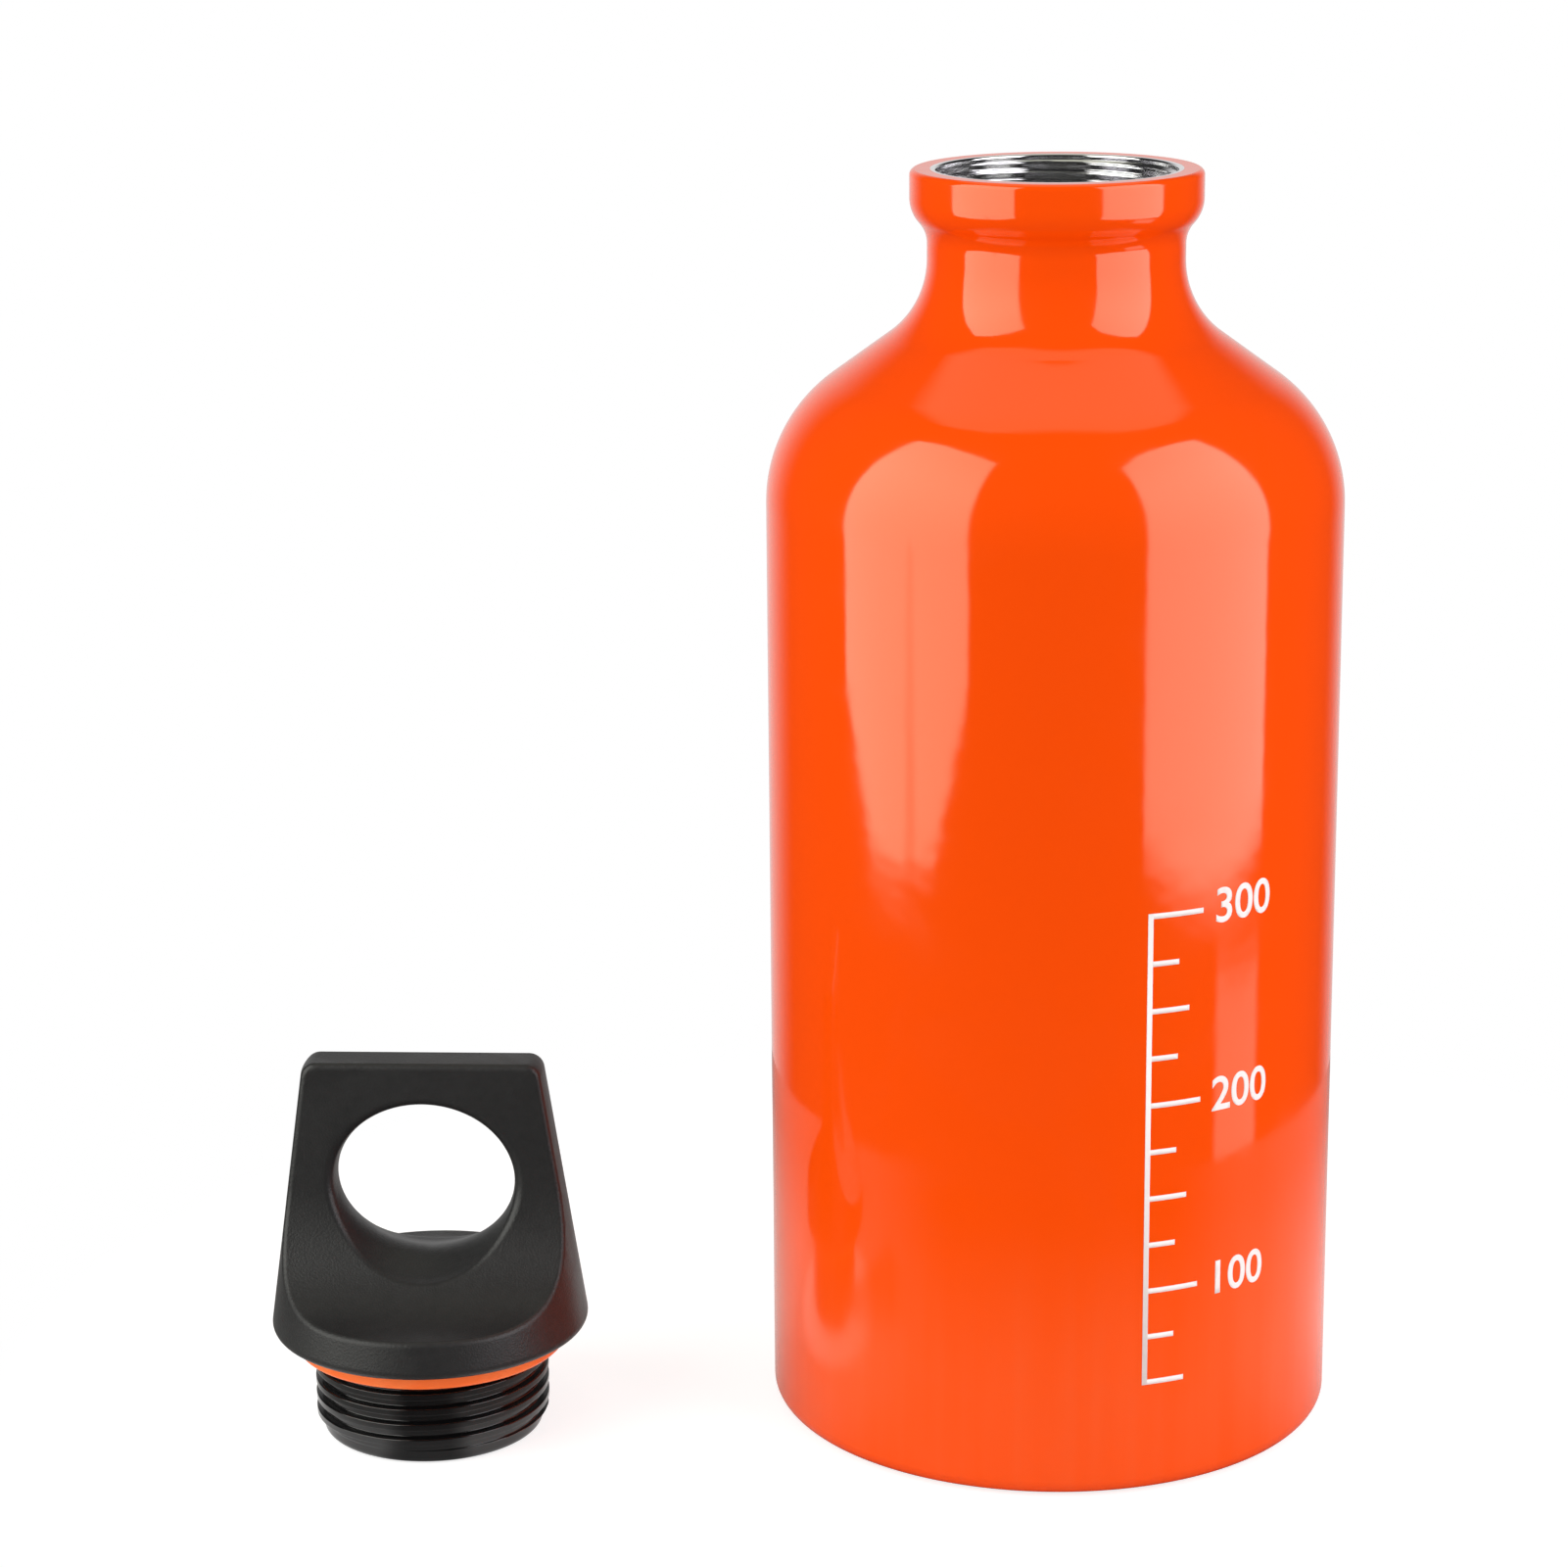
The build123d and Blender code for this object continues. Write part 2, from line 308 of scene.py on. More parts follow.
def plug_surface(columns=288, rows=190):
    """Plug of the cap: hollow inside, threaded outside, with a lead-in, a seat for the seal and a spigot.

    The thread rises out of the plain lead-in along a slope, and sinks back below the seal along the same one.
    """
    bore_radius = lead_in_radius - plug_wall
    low = lead_in_length - plug_drop
    high = seal_bottom
    rise = plug_crest_radius - lead_in_radius
    just_above = 0.00001
    inside = section(
        (pole_gap, -plug_top_wall),
        arc((bore_radius - plug_roof_round, -plug_top_wall - plug_roof_round), plug_roof_round, 90, 0, 8),
        arc((bore_radius + plug_mouth_round, plug_mouth_round - plug_drop), plug_mouth_round, 180, 270, 6),
        arc((lead_in_radius - plug_end_round, plug_end_round - plug_drop), plug_end_round, -90, 0, 12),
    )
    outside = section(
        (lead_in_radius, high + rise + just_above),
        (lead_in_radius, 0),
        (spigot_radius, 0),
        (spigot_radius, spigot_top),
        (pole_gap, spigot_top),
    )
    angle = np.arange(columns) * 2 * np.pi / columns
    height = np.linspace(low - rise / 4, high + rise, rows)[:, None]
    share = groove_share(height, angle, low - thread_pitch / 2, plug_groove_mouth)
    thread = plug_crest_radius - (plug_crest_radius - plug_root_radius) * share
    slope = np.minimum(height - low, high - height) * lead_in_slope
    thread = np.minimum(thread, lead_in_radius + np.maximum(slope, 0))
    parts = [carried(inside, columns), (thread, np.repeat(height, columns, 1)), carried(outside, columns)]
    radius = np.vstack([part[0] for part in parts])
    level = np.vstack([part[1] for part in parts])
    poles = {"first_pole": -plug_top_wall, "last_pole": spigot_top}
    return turned("threaded_stopper", radius, level, place=cap_place, turn=cap_turn, **poles)


def seal_surface(columns=192):
    """Sealing ring: a flat band with its four edges rounded."""
    inner, outer = seal_inner_radius + seal_edge_round, seal_outer_radius - seal_edge_round
    low, high = seal_bottom + seal_edge_round, seal_top - seal_edge_round
    corners = (((inner, low), 180), ((outer, low), 270), ((outer, high), 0), ((inner, high), 90))
    profile = section(*[arc(centre, seal_edge_round, start, start + 90, 8) for centre, start in corners])
    radius, height = carried(profile, columns)
    return turned("flat_seal", radius, height, loop=True, place=cap_place, turn=cap_turn)


def grip_surface():
    """Handle of the cap: the part's own form with its seams joined and its flat faces shaded flat."""
    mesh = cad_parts["cap_handle"].data.copy()
    mesh.name = "scooped_grip"
    mesh.materials.clear()
    form = bmesh.new()
    form.from_mesh(mesh)
    bmesh.ops.remove_doubles(form, verts=form.verts, dist=grip_seam)
    bmesh.ops.dissolve_degenerate(form, edges=form.edges, dist=grip_seam / 2)
    form.to_mesh(mesh)
    form.free()
    mesh.polygons.foreach_set("use_smooth", np.ones(len(mesh.polygons), bool))
    return mesh


def round_body(across, up, out):
    """Points printed on the body: an arc length across, a height, and a distance out from the paint."""
    radius = body_radius + out
    angle = mark_start + across / body_radius
    return np.column_stack([radius * np.sin(angle), -radius * np.cos(angle), up])


def mark_surface(steps=10):
    """Level marks: a thin bar on the body for each level, every fourth one long, and a line down their ends.

    Each bar is a row of four-cornered rings, from its start to its length along the body's round.
    """
    levels = level_zero + level_rise * mark_levels
    lengths = np.array(mark_lengths)[(mark_levels // mark_step) % len(mark_lengths)]
    half = mark_thickness / 2
    lows = np.append(levels - half, levels[0] - half)
    highs = np.append(levels + half, levels[-1] + half)
    lengths = np.append(lengths, mark_thickness)
    share = np.linspace(0, 1, steps)[None, :, None]
    across = np.broadcast_to(lengths[:, None, None] * share, (len(lows), steps, 4))
    up = np.stack([lows, highs, highs, lows], -1)[:, None, :]
    up = np.broadcast_to(up, across.shape)
    lift = np.append(np.zeros(len(levels)), print_height / 2)[:, None, None]
    out = np.array([-1.0, -1.0, 1.0, 1.0])[None, None, :] * print_height + lift
    out = np.broadcast_to(out, across.shape)
    points = round_body(across.ravel(), up.ravel(), out.ravel())
    here = np.arange(steps - 1)[:, None] * 4
    ahead = here + 4
    side = np.arange(4)[None, :]
    next_side = (side + 1) % 4
    walls = np.stack([here + side, here + next_side, ahead + next_side, ahead + side], -1)
    last = (steps - 1) * 4
    ends = np.array([[3, 2, 1, 0], [last, last + 1, last + 2, last + 3]])
    bar = np.vstack([walls.reshape(-1, 4), ends])
    quads = (np.arange(len(lows))[:, None, None] * steps * 4 + bar[None]).reshape(-1, 4)
    return new_mesh("level_marks", points, quads)


def number_surface():
    """Plain numbers beside the long marks: flat figures with a hair of thickness, bent round the body."""
    parts = []
    for level in numbered_levels:
        figures = bpy.data.curves.new("figures", "FONT")
        figures.body = str(level)
        figures.size = number_size
        figures.extrude = print_height
        figures.offset = number_weight
        figures.align_y = "CENTER"
        written = bpy.data.objects.new("figures", figures)
        bpy.context.scene.collection.objects.link(written)
        bpy.context.view_layer.update()
        flat = bpy.data.meshes.new_from_object(written.evaluated_get(bpy.context.evaluated_depsgraph_get()))
        bpy.data.objects.remove(written)
        form = bmesh.new()
        form.from_mesh(flat)
        bmesh.ops.remove_doubles(form, verts=form.verts, dist=same_point)
        bmesh.ops.triangulate(form, faces=form.faces)
        wide = [edge for edge in form.edges if edge.calc_length() > number_size / 8]
        bmesh.ops.subdivide_edges(form, edges=wide, cuts=3)
        bmesh.ops.triangulate(form, faces=form.faces)
        form.to_mesh(flat)
        form.free()
        spots = np.empty(len(flat.vertices) * 3)
        flat.vertices.foreach_get("co", spots)
        spots = spots.reshape(-1, 3)
        corners = np.empty(len(flat.loops), int)
        flat.loops.foreach_get("vertex_index", corners)
        across = spots[:, 0] + mark_lengths[0] + number_gap
        up = spots[:, 1] + level_zero + level_rise * level
        parts.append((round_body(across, up, spots[:, 2]), corners.reshape(-1, 3)))
    starts = np.cumsum([0] + [len(points) for points, _ in parts[:-1]])
    points = np.vstack([points for points, _ in parts])
    triangles = np.vstack([corners + start for (_, corners), start in zip(parts, starts)])
    return new_mesh("level_numbers", points, np.zeros((0, 4), int), triangles)


# Shader effects that several materials share


def effect(name, inputs, outputs):
    """Empty node group with named inputs (kind and starting value) and named outputs."""
    group = bpy.data.node_groups.new(name, "ShaderNodeTree")
    for label, (kind, value) in inputs.items():
        socket = group.interface.new_socket(label, in_out="INPUT", socket_type=f"NodeSocket{kind}")
        if value is not None:
            socket.default_value = value
    for label in outputs:
        group.interface.new_socket(label, in_out="OUTPUT", socket_type="NodeSocketFloat")
    return group, group.nodes.new("NodeGroupInput"), group.nodes.new("NodeGroupOutput")


def set_inputs(tree, made, values):
    """Put plain values or links on a node's input sockets."""
    for key, value in values.items():
        if isinstance(value, bpy.types.NodeSocket):
            tree.links.new(value, made.inputs[key])
        else:
            made.inputs[key].default_value = value


def node(tree, kind, values=None, **settings):
    """Node of a tree with its settings, and with values or links on its input sockets."""
    made = tree.nodes.new(f"ShaderNode{kind}")
    for key, value in settings.items():
        setattr(made, key, value)
    set_inputs(tree, made, values or {})
    return made


def calculated(tree, operation, *values):
    """Result of one sum on plain numbers and links."""
    return node(tree, "Math", dict(enumerate(values)), operation=operation).outputs[0]


def between(tree, value, low, high, start=0.0, end=1.0, step="LINEAR"):
    """Number from low to high as a value goes from start to end."""
    limits = {"Value": value, "From Min": start, "From Max": end, "To Min": low, "To Max": high}
    return node(tree, "MapRange", limits, interpolation_type=step).outputs["Result"]


def smooth(tree, value, start, end, low=0.0, high=1.0):
    """Number from low to high along a smooth step as a value goes from start to end."""
    return between(tree, value, low, high, start, end, "SMOOTHSTEP")


def mould_grain_effect():
    """Spark-eroded mould texture: small rounded cells under finer noise, as a height and a speckle."""
    inputs = {"Vector": ("Vector", None), "Cells": ("Float", 3000.0), "Fineness": ("Float", 2.6)}
    group, given, result = effect("mould_grain", inputs, ("Height", "Speckle"))
    where, cells, fineness = given.outputs[:3]
    rounding = {"Vector": where, "Scale": cells, "Smoothness": 0.6}
    rounded = node(group, "TexVoronoi", rounding, feature="SMOOTH_F1")
    finer = calculated(group, "MULTIPLY", cells, fineness)
    noise = node(group, "TexNoise", {"Vector": where, "Scale": finer, "Detail": 2.0})
    height = calculated(group, "MULTIPLY_ADD", noise.outputs["Fac"], 0.5, rounded.outputs["Distance"])
    speckle = node(group, "TexNoise", {"Vector": where, "Scale": 900.0, "Detail": 4.0})
    group.links.new(height, result.inputs["Height"])
    group.links.new(speckle.outputs["Fac"], result.inputs["Speckle"])
    return group


def handling_effect():
    """Soft smudges of handling: broad noise, warped by itself and steepened, from 0 clean to 1 rubbed."""
    inputs = {"Vector": ("Vector", None), "Scale": ("Float", 60.0)}
    group, given, result = effect("handling", inputs, ("Mask",))
    where, scale = given.outputs[:2]
    broad = node(group, "TexNoise", {"Vector": where, "Scale": scale, "Detail": 3.0, "Distortion": 0.8})
    group.links.new(smooth(group, broad.outputs["Fac"], 0.42, 0.68), result.inputs["Mask"])
    return group


def turning_effect():
    """Fine lines of a lathe: noise of the height plus the distance from the axis, the same at every angle."""
    inputs = {"Vector": ("Vector", None), "Lines": ("Float", 9000.0)}
    group, given, result = effect("turning", inputs, ("Height", "Tone"))
    where, lines = given.outputs[:2]
    across, deep, up = node(group, "SeparateXYZ", {0: where}).outputs
    flat = node(group, "CombineXYZ", {0: across, 1: deep})
    away = node(group, "VectorMath", {0: flat.outputs[0]}, operation="LENGTH")
    place = calculated(group, "ADD", away.outputs["Value"], up)
    for scale, detail, output in ((lines, 2.0, "Height"), (700.0, 3.0, "Tone")):
        noise = node(group, "TexNoise", {"W": place, "Scale": scale, "Detail": detail}, noise_dimensions="1D")
        group.links.new(noise.outputs["Fac"], result.inputs[output])
    return group


mould_grain = mould_grain_effect()
handling = handling_effect()
turning = turning_effect()


# Materials

lacquer_colour = (0.935, 0.073, 0.001)
# Lighter colour of the streaks low on the body: a painted pale sheen, not the paint's own colour.
pale_sheen_colour = (0.945, 0.094, 0.012)
lacquer_glint = (1.0, 0.96, 0.72, 1)
from_cap_place = tuple(-c for c in cap_place)


def finish(name, colour, roughness, metallic=0.0, **sockets):
    """Material with one principled shader, its plain values on its own sockets."""
    material = bpy.data.materials.new(name)
    material.use_nodes = True
    tree = material.node_tree
    shader = tree.nodes["Principled BSDF"]
    shader.inputs["Base Color"].default_value = (*colour, 1)
    shader.inputs["Roughness"].default_value = roughness
    shader.inputs["Metallic"].default_value = metallic
    set_inputs(tree, shader, sockets)
    return material, tree, shader


def placed(tree, offset=(0, 0, 0)):
    """Object coordinates, moved by an offset that centres a pattern on a piece."""
    where = node(tree, "TexCoord").outputs["Object"]
    return node(tree, "Mapping", {0: where, 1: offset}).outputs[0]


def use_effect(tree, group, **values):
    """A shared effect placed in a material with this material's values."""
    made = tree.nodes.new("ShaderNodeGroup")
    made.node_tree = group
    set_inputs(tree, made, values)
    return made.outputs


def blend_colour(tree, shader, share, first, second):
    """Base colour from the first to the second as a share goes from 0 to 1."""
    made = node(tree, "Mix", {0: share, 6: (*first, 1), 7: (*second, 1)}, data_type="RGBA")
    tree.links.new(made.outputs[2], shader.inputs["Base Color"])


def relief(tree, shader, height, strength, distance):
    """Bump of a height on the shader's normal."""
    bump = node(tree, "Bump", {"Height": height, "Strength": strength, "Distance": distance})
    tree.links.new(bump.outputs[0], shader.inputs["Normal"])


def orange_lacquer():
    """Glossy orange lacquer: a slight ripple, soft smudges, and faint upright streaks low on the body.

    The streaks are noise of the angle round the axis and of the height, stretched upright, and fade in
    towards the foot. They are rougher, and their lighter colour is a painted pale sheen.
    """
    gloss = {"IOR": 1.7, "Specular Tint": lacquer_glint}
    material, tree, shader = finish("orange_lacquer", lacquer_colour, 0.07, **gloss)
    where = placed(tree)
    across, deep, up = node(tree, "SeparateXYZ", {0: where}).outputs
    around = calculated(tree, "ARCTAN2", deep, across)
    unrolled = node(tree, "CombineXYZ", {0: around, 2: up}).outputs[0]
    stretched = node(tree, "Mapping", {0: unrolled, 3: (13.0, 1.0, 12.0)}).outputs[0]
    streaks = node(tree, "TexNoise", {"Vector": stretched, "Scale": 1.0, "Detail": 4.0}).outputs["Fac"]
    low = smooth(tree, up, 0.04, 0.014)
    streaks_and_sheen = calculated(tree, "MULTIPLY", streaks, low)
    smudge = use_effect(tree, handling, Vector=where, Scale=70.0)["Mask"]
    rough = between(tree, smudge, 0.06, 0.10)
    rough = calculated(tree, "MULTIPLY_ADD", streaks_and_sheen, 0.14, rough)
    tree.links.new(rough, shader.inputs["Roughness"])
    # Painted pale sheen: the streaks low on the body turn the lacquer lighter towards the foot.
    blend_colour(tree, shader, streaks_and_sheen, lacquer_colour, pale_sheen_colour)
    ripple = node(tree, "TexNoise", {"Vector": where, "Scale": 260.0, "Detail": 1.0}).outputs["Fac"]
    relief(tree, shader, ripple, 0.10, 0.00012)
    return material


def bare_aluminium():
    """Bare turned aluminium: lines round the axis in its height and its tone."""
    material, tree, shader = finish("bare_aluminium", (0.93, 0.93, 0.94), 0.1, metallic=1.0)
    lines = use_effect(tree, turning, Vector=placed(tree), Lines=9000.0)
    tree.links.new(between(tree, lines["Tone"], 0.04, 0.15), shader.inputs["Roughness"])
    blend_colour(tree, shader, lines["Tone"], (0.95, 0.95, 0.96), (0.84, 0.84, 0.86))
    relief(tree, shader, lines["Height"], 0.25, 0.00002)
    return material


def grained_plastic():
    """Matte charcoal polypropylene out of a spark-eroded mould, a little shinier where it is handled."""
    material, tree, shader = finish("grained_plastic", (0.018, 0.018, 0.0182), 0.4, IOR=1.45)
    where = placed(tree, from_cap_place)
    grain = use_effect(tree, mould_grain, Vector=where, Cells=3600.0, Fineness=2.6)
    rubbed = use_effect(tree, handling, Vector=where, Scale=85.0)["Mask"]
    tree.links.new(between(tree, rubbed, 0.43, 0.35), shader.inputs["Roughness"])
    blend_colour(tree, shader, grain["Speckle"], (0.014, 0.014, 0.0142), (0.022, 0.022, 0.0222))
    relief(tree, shader, grain["Height"], 0.5, 0.00005)
    return material


def gloss_plastic():
    """Glossy black moulding with faint lathe lines of its mould and soft smudges."""
    material, tree, shader = finish("gloss_plastic", (0.004, 0.004, 0.0042), 0.14, IOR=1.6)
    where = placed(tree, from_cap_place)
    lines = use_effect(tree, turning, Vector=where, Lines=5000.0)
    rubbed = use_effect(tree, handling, Vector=where, Scale=120.0)["Mask"]
    tree.links.new(between(tree, rubbed, 0.1, 0.18), shader.inputs["Roughness"])
    blend_colour(tree, shader, lines["Tone"], (0.003, 0.003, 0.0032), (0.005, 0.005, 0.0052))
    relief(tree, shader, lines["Height"], 0.12, 0.00002)
    return material


def orange_rubber():
    """Satin orange silicone with a fine bloom on its surface."""
    material, tree, shader = finish("orange_rubber", (1.0, 0.165, 0.026), 0.36, IOR=1.45)
    where = placed(tree, from_cap_place)
    grain = use_effect(tree, mould_grain, Vector=where, Cells=6000.0, Fineness=2.0)
    bloom = use_effect(tree, handling, Vector=where, Scale=200.0)["Mask"]
    tree.links.new(between(tree, bloom, 0.3, 0.42), shader.inputs["Roughness"])
    blend_colour(tree, shader, bloom, (1.0, 0.165, 0.024), (1.0, 0.195, 0.036))
    relief(tree, shader, grain["Height"], 0.15, 0.00003)
    return material


def white_ink():
    """White screen-printed ink, satin, with the paint showing through it very slightly."""
    material, tree, shader = finish("white_ink", (0.87, 0.82, 0.81), 0.35)
    grain = use_effect(tree, mould_grain, Vector=placed(tree), Cells=5000.0, Fineness=2.2)
    blend_colour(tree, shader, grain["Speckle"], (0.88, 0.80, 0.78), (0.90, 0.86, 0.85))
    relief(tree, shader, grain["Height"], 0.1, 0.00002)
    return material


# Pieces

lacquer = orange_lacquer()
aluminium = bare_aluminium()

profile, painted_rows = bottle_section()
around = 256
radius, height = carried(profile, around)
shell = turned("bottle_body", radius, height, first_pole=profile[0, 1], last_pole=profile[-1, 1])
bare_faces = np.repeat(np.arange(len(profile) - 1) >= painted_rows - 1, around)
pole_faces = np.repeat([False, True], around)
shell.polygons.foreach_set("material_index", np.concatenate([bare_faces, pole_faces]).astype(np.int32))
piece("bottle_body", shell, "bottle", "bottle_shell", "body_paint", lacquer, aluminium)
piece("thread_ring", ring_surface(), "bottle", "neck_ring", "bare_aluminium", aluminium)

ink = white_ink()
piece("level_marks", mark_surface(), "bottle", None, None, ink)
piece("level_numbers", number_surface(), "bottle", None, None, ink)

grip = piece("scooped_grip", grip_surface(), "cap", "cap_handle", "handle_plastic", grained_plastic())
flatter = grip.modifiers.new("flat faces", "WEIGHTED_NORMAL")
flatter.weight = 100
flatter.keep_sharp = False
piece("threaded_stopper", plug_surface(), "cap", "threaded_plug", "plug_plastic", gloss_plastic())
piece("flat_seal", seal_surface(), "seal", "sealing_ring", "seal_rubber", orange_rubber())


# Floor and world

floor_radius = 0.15
floor_drop = 0.0002
floor_glow = 0.78
cap_foot = (cap_place[0], cap_place[1], 0)
backdrop_side = (-0.02, 0.99, -0.1)


def in_front(tree, where, centre, reach, facing_from, facing_to):
    """Share of a place on the floor that lies straight in front of an axis and within a reach of it.

    It grows as the cosine of the bearing goes from one value to the other.
    """
    out = node(tree, "VectorMath", {0: where, 1: centre}, operation="SUBTRACT").outputs[0]
    away = node(tree, "VectorMath", {0: out}, operation="LENGTH").outputs["Value"]
    forward = node(tree, "VectorMath", {0: out, 1: (0, -1, 0)}, operation="DOT_PRODUCT").outputs["Value"]
    facing = calculated(tree, "DIVIDE", forward, away)
    share = smooth(tree, facing, facing_from, facing_to)
    return calculated(tree, "MULTIPLY", share, smooth(tree, away, reach, 0.7 * reach))


def floor_material():
    """Pale floor that fades into white at its rim.

    The camera sees it white, with the object's shadow. A reflection sees it pale beside and behind the
    object, dim in front of it, and dimmer further out.
    """
    material = bpy.data.materials.new("pale_floor")
    material.use_nodes = True
    tree = material.node_tree
    tree.nodes.remove(tree.nodes["Principled BSDF"])
    path = node(tree, "LightPath").outputs
    camera_ray, mirror_ray = path["Is Camera Ray"], path["Is Glossy Ray"]
    where = node(tree, "TexCoord").outputs["Object"]
    away = node(tree, "VectorMath", {0: where}, operation="LENGTH").outputs["Value"]
    outer = between(tree, away, 0.0, 1.0, 0.06, 0.13)

    before_bottle = in_front(tree, where, (0, 0, 0), 0.2, 0.3, 0.8)
    before_cap = in_front(tree, where, cap_foot, 0.06, 0.85, 0.98)
    before = calculated(tree, "MAXIMUM", before_bottle, before_cap)
    beside_tone = between(tree, outer, 0.5, 0.3)
    before_tone = between(tree, outer, 0.14, 0.02)
    mirrored_tone = node(tree, "Mix", {0: before, 2: beside_tone, 3: before_tone}).outputs[0]
    lit_tone = between(tree, path["Is Diffuse Ray"], 0.45, 0.85)
    tone = node(tree, "Mix", {0: mirror_ray, 2: lit_tone, 3: mirrored_tone}).outputs[0]

    from_cap = node(tree, "VectorMath", {0: where, 1: cap_foot}, operation="DISTANCE").outputs["Value"]
    near_cap = smooth(tree, from_cap, 0.03, 0.021)
    cap_glow = calculated(tree, "MULTIPLY", near_cap, between(tree, before_cap, 0.95, 0.3))
    deep = node(tree, "SeparateXYZ", {0: where}).outputs[1]
    behind = smooth(tree, deep, -0.03, 0.02)
    back_glow = calculated(tree, "MULTIPLY", behind, between(tree, outer, 0.5, 0.12))
    mirrored_glow = calculated(tree, "MAXIMUM", cap_glow, back_glow)
    mirrored_glow = calculated(tree, "MULTIPLY", mirrored_glow, mirror_ray)
    glow = calculated(tree, "MAXIMUM", camera_ray, mirrored_glow)
    glow = calculated(tree, "MULTIPLY", glow, floor_glow)

    surface = node(tree, "BsdfDiffuse", {"Color": tone}).outputs[0]
    shine = node(tree, "Emission", {"Strength": glow}).outputs[0]
    lit = node(tree, "AddShader", {0: surface, 1: shine}).outputs[0]
    white = node(tree, "Emission", {"Strength": 1.0}).outputs[0]
    rim = calculated(tree, "MULTIPLY", smooth(tree, away, 0.115, 0.145), camera_ray)
    both = node(tree, "MixShader", {0: rim, 1: lit, 2: white}).outputs[0]
    tree.links.new(both, tree.nodes["Material Output"].inputs["Surface"])
    return material


def pale_floor():
    """Disc of floor just under the object."""
    ring = np.linspace(0.002, floor_radius, 12)[::-1, None]
    radius = np.repeat(ring, 96, 1)
    mesh = turned("floor", radius, np.full(radius.shape, -floor_drop), last_pole=-floor_drop)
    mesh.materials.append(floor_material())
    floor = bpy.data.objects.new("floor", mesh)
    bpy.context.scene.collection.objects.link(floor)


def studio_world():
    """White to the camera. To the object it is a white backdrop behind and a dim room everywhere else."""
    world = bpy.data.worlds.new("studio")
    bpy.context.scene.world = world
    world.use_nodes = True
    tree = world.node_tree
    path = node(tree, "LightPath").outputs
    out = node(tree, "TexCoord").outputs["Generated"]
    facing = node(tree, "VectorMath", {0: out, 1: backdrop_side}, operation="DOT_PRODUCT").outputs["Value"]
    room = between(tree, path["Is Glossy Ray"], 0.285, 0.03)
    backdrop = smooth(tree, facing, 0.68, 1.0, room, 0.75)
    seen = calculated(tree, "MAXIMUM", path["Is Camera Ray"], backdrop)
    background = tree.nodes["Background"]
    background.inputs["Color"].default_value = (1, 1, 1, 1)
    tree.links.new(seen, background.inputs["Strength"])


# Lamps

corner_share = 0.28
end_share = 0.42
seam_lean = 0.3
seam_edges = (0.01, 0.07)
seam_level = 0.68
side_distance = 0.45


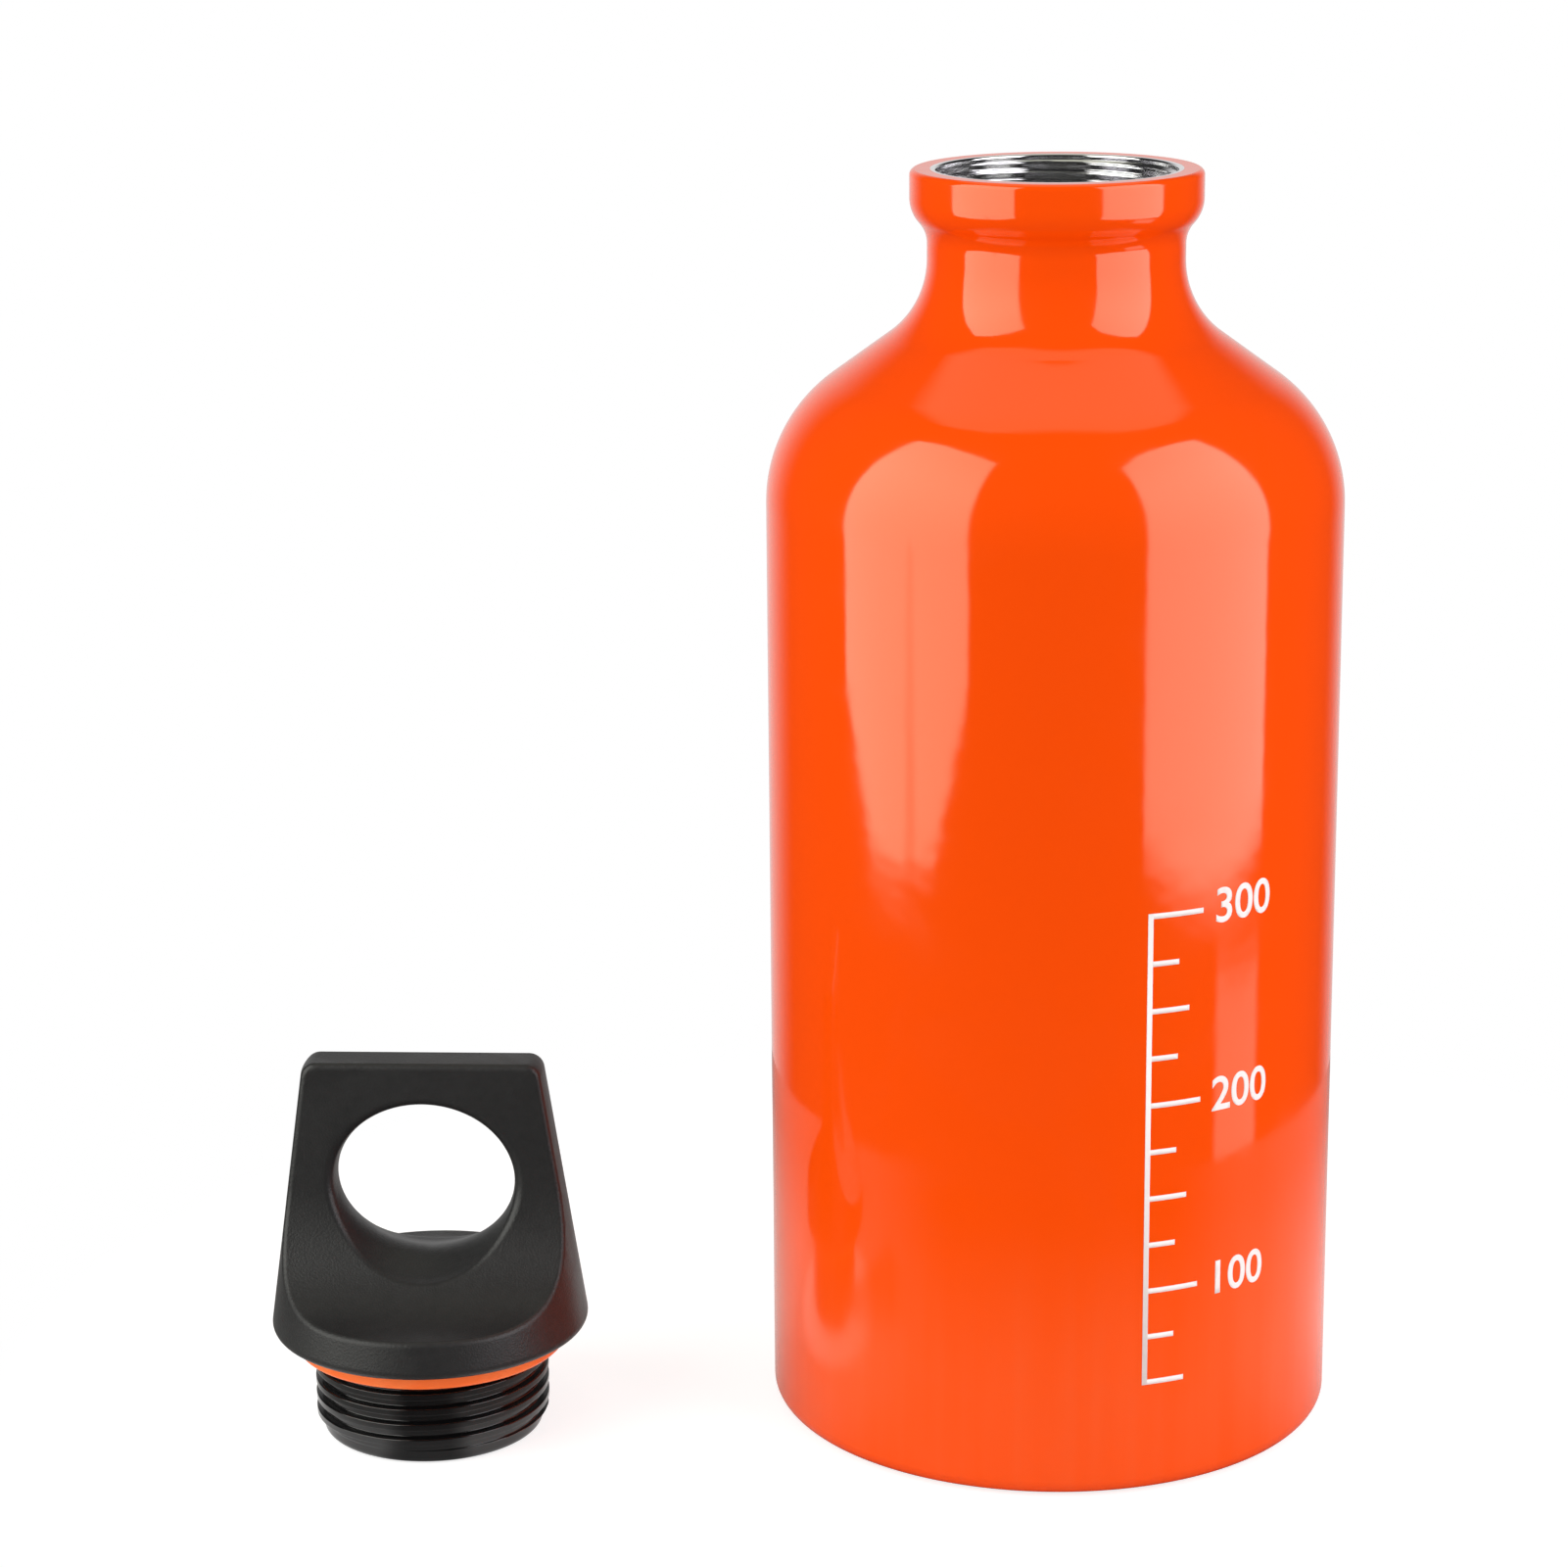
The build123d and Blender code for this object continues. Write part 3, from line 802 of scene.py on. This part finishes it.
def softbox(
    name, centre, target, size, radiance, colour=(1, 1, 1), shape="RECTANGLE",
    fade=(0.1, 0.1), cuts=(0.0, 0.0, 0.0), outer=1, rise=0.0, ends=1.0, seam=None,
):
    """Lamp that faces a target, as bright as its radiance where it is seen, and dimmer near its edges.

    Across and up run from 0 to 1 on the lamp. The dimming is a smooth step of the distance from the nearest
    side. Cuts take both corners off the low end, and the outer and the inner one off the high end, as shares
    of the height. The outer side is across at 1 where outer is 1, and at 0 where it is -1, and rise is how
    much brighter it is than the inner side. Ends is how bright both ends are next to the middle, and a seam
    is the place across of a dim line that thins out upwards.
    """
    lamp = bpy.data.lights.new(name, "AREA")
    lamp.shape = shape
    lamp.size, lamp.size_y = size
    lamp.energy = radiance * np.pi * size[0] * size[1]
    lamp.color = colour
    lamp.use_nodes = True
    tree = lamp.node_tree
    place = node(tree, "NewGeometry").outputs["Parametric"]
    across, up = node(tree, "SeparateXYZ", {0: place}).outputs[:2]
    centred = calculated(tree, "SUBTRACT", across, 0.5)
    off_centre = calculated(tree, "ABSOLUTE", centred)
    outward = calculated(tree, "MULTIPLY", centred, outer)
    from_middle = calculated(tree, "ABSOLUTE", calculated(tree, "SUBTRACT", up, 0.5))
    shares = [
        calculated(tree, "MULTIPLY_ADD", outward, rise, 1.0),
        smooth(tree, off_centre, 0.5, 0.5 - fade[0]),
        smooth(tree, from_middle, end_share, 0.0, ends, 1.0),
    ]
    low_end, high_end = (0.0, fade[1]), (1.0, 1.0 - fade[1])
    corners = (
        (off_centre, 0.5, -cuts[0], low_end),
        (outward, 0.5, cuts[1], high_end),
        (outward, -0.5, cuts[2], high_end),
    )
    for side, edge, cut, end in corners:
        corner = between(tree, side, 0.0, 1.0, edge - np.sign(edge) * corner_share, edge)
        shares.append(smooth(tree, calculated(tree, "MULTIPLY_ADD", corner, cut, up), *end))
    if seam is not None:
        from_seam = calculated(tree, "ABSOLUTE", calculated(tree, "SUBTRACT", across, seam))
        from_seam = calculated(tree, "MULTIPLY_ADD", up, seam_lean, from_seam)
        shares.append(smooth(tree, from_seam, *seam_edges, seam_level, 1.0))
    strength = shares[0]
    for share in shares[1:]:
        strength = calculated(tree, "MULTIPLY", strength, share)
    tree.links.new(strength, tree.nodes["Emission"].inputs["Strength"])
    stand = bpy.data.objects.new(name, lamp)
    facing = (Vector(target) - Vector(centre)).to_track_quat("-Z", "Y")
    stand.matrix_world = Matrix.Translation(centre) @ facing.to_matrix().to_4x4()
    stand.visible_camera = False
    bpy.context.scene.collection.objects.link(stand)


def side_box(name, bearings, low, high, *look, **shape):
    """Upright softbox between two bearings from the front of the bottle, and between two heights."""
    first, last = np.radians(bearings)
    turn = (first + last) / 2
    width = 2 * side_distance * np.tan((last - first) / 2)
    middle = (low + high) / 2
    centre = (side_distance * np.sin(turn), -side_distance * np.cos(turn), middle)
    softbox(name, centre, (0, 0, middle), (width, high - low), *look, **shape)


pale_floor()
studio_world()

left_shape = {"fade": (0.045, 0.013), "cuts": (0.038, 0.05, 0.0), "outer": -1, "rise": 0.2, "ends": 0.87}
right_shape = {"fade": (0.045, 0.02), "cuts": (0.0, 0.05, 0.12), "outer": 1, "rise": 0.2, "ends": 0.87}
side_box("left_box", (-92, -35), -0.0465, 0.8, 2.95, (1.0, 1.0, 0.94), seam=0.56, **left_shape)
side_box("right_box", (30.5, 86.5), -0.056, 0.8, 2.85, (1.0, 0.97, 1.0), **right_shape)
side_box("right_tail", (62, 86), -0.17, -0.05, 1.2, (1.0, 0.95, 0.95), fade=(0.15, 0.2))
softbox("top_box", (0.01, 0.26, 0.75), (0.01, 0.26, 0), (0.76, 0.78), 0.47, (1.0, 1.0, 0.82), "ELLIPSE")


# Camera

camera_place = (-0.0348, -0.5187, 0.2231)
camera_down = 15.01
camera_roll = -0.54

eye = bpy.data.cameras.new("camera")
eye.sensor_width = 36.0
eye.lens = 94.96
eye.clip_start = 0.01
eye.clip_end = 20.0
camera = bpy.data.objects.new("camera", eye)
pitch = Matrix.Rotation(np.radians(90 - camera_down), 4, "X")
roll = Matrix.Rotation(np.radians(camera_roll), 4, "Z")
camera.matrix_world = Matrix.Translation(camera_place) @ pitch @ roll
bpy.context.scene.collection.objects.link(camera)
bpy.context.scene.camera = camera

bpy.context.scene.view_settings.view_transform = "Standard"
